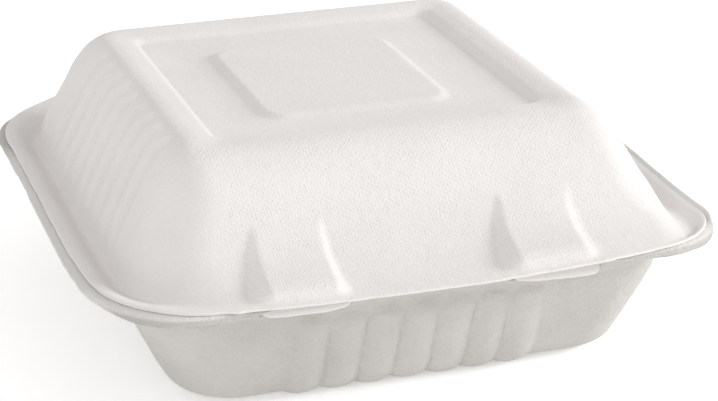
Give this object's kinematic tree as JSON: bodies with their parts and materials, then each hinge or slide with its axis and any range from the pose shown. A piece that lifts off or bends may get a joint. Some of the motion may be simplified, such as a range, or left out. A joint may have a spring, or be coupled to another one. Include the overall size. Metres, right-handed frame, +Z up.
{
  "type": "sugarcane clamshell container",
  "caption": "Square hinged food box pressed from plant fibre, with a ribbed tray, a domed lid with a sunk square panel, and front tongues that lock through slits.",
  "frame": {"origin": "centre of the flat underside of the tray", "axes": "+Z up, -Y towards the tongues and the lifting edge, fold along X at the back (+Y); lid shut"},
  "size_m": [0.204, 0.2107, 0.0824],
  "materials": {
    "pulp_tray": "matte moulded fibre, off white",
    "pulp_lid": "matte moulded fibre with a fine mesh mark, off white",
    "pulp_fold": "creased moulded fibre, off white"
  },
  "bodies": {
    "tray": {"base_tray": "pulp_tray", "hinge_web": "pulp_fold"},
    "lid": {"lid": "pulp_lid"}
  },
  "joints": [
    {"name": "lid_hinge", "type": "hinge", "parent": "tray", "child": "lid", "pos_m": [0, 0.103, 0.04965], "axis": [-1, 0, 0], "range_deg": [0, 180], "deforming": ["hinge_web"]}
  ]
}
